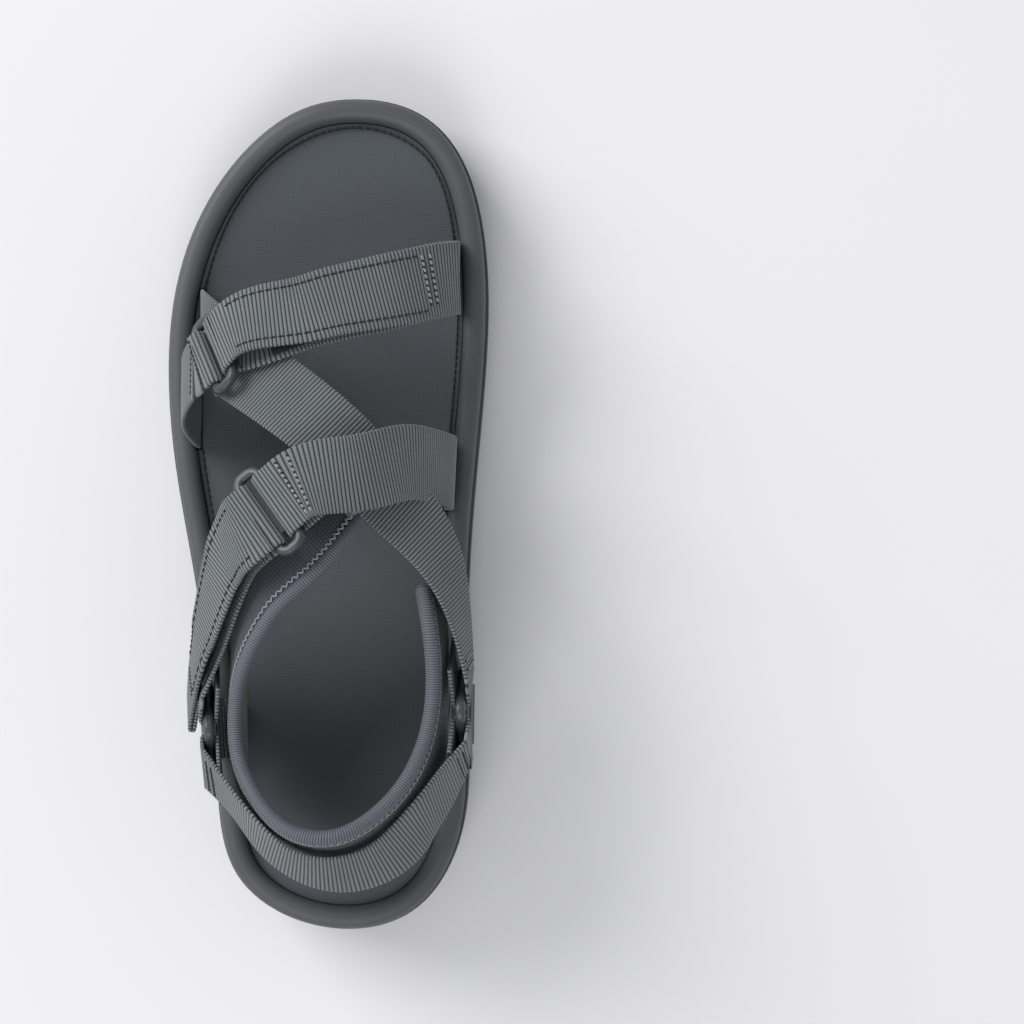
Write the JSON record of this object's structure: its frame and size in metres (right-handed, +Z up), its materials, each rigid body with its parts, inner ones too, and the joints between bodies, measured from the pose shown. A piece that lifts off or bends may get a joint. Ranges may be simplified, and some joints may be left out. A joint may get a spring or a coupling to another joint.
{
  "type": "strappy sport sandal",
  "caption": "Left-foot sport sandal: cupped foam sole, ribbed webbing straps through plastic rings, hook-and-loop forefoot and ankle flaps, padded heel collar.",
  "frame": {"origin": "on the ground plane, on the tread under the middle of the sole", "axes": "+Z up, +Y towards the toe, +X towards the inner (medial) side of the foot"},
  "size_m": [0.1112, 0.2856, 0.1009],
  "materials": {
    "acetal_ring": "moulded, semi-matte",
    "collar_foam": "open-cell foam",
    "elastic_binding": "ribbed elastic",
    "eva_footbed": "EVA foam with fine cross-hatch texture",
    "eva_midsole": "moulded EVA foam skin, matte",
    "hook_tape": "woven nylon hook",
    "knit_collar": "fine knit over foam",
    "loop_tape": "brushed nylon loop",
    "rubber_tread": "moulded, matte",
    "webbing": "ribbed woven polyester"
  },
  "bodies": {
    "sandal": {"ankle_loop_tape": "loop_tape", "ankle_strap": "webbing", "collar_binding": "elastic_binding", "collar_foam": "collar_foam", "collar_lining": "knit_collar", "collar_shell": "knit_collar", "cross_strap": "webbing", "footbed": "eva_footbed", "forefoot_loop_tape": "loop_tape", "forefoot_ring": "acetal_ring", "forefoot_ring_anchor": "webbing", "forefoot_strap": "webbing", "heel_strap": "webbing", "instep_ring": "acetal_ring", "instep_strap": "webbing", "lateral_rear_anchor": "webbing", "lateral_rear_ring": "acetal_ring", "medial_rear_anchor": "webbing", "medial_rear_ring": "acetal_ring", "midsole": "eva_midsole", "outsole": "rubber_tread"},
    "forefoot_closure": {"forefoot_flap": "webbing", "forefoot_hook_tape": "hook_tape"},
    "ankle_closure": {"ankle_flap": "webbing", "ankle_hook_tape": "hook_tape"}
  },
  "joints": [
    {"name": "forefoot_flap_peel", "type": "hinge", "parent": "sandal", "child": "forefoot_closure", "pos_m": [-0.03424, 0.05703, 0.06565], "axis": [0.3365, -0.6923, 0.6383], "range_deg": [0, 140]},
    {"name": "ankle_flap_peel", "type": "hinge", "parent": "sandal", "child": "ankle_closure", "pos_m": [-0.0196, -0.00231, 0.0933], "axis": [-0.5498, 0.7414, -0.3847], "range_deg": [0, 120]}
  ]
}
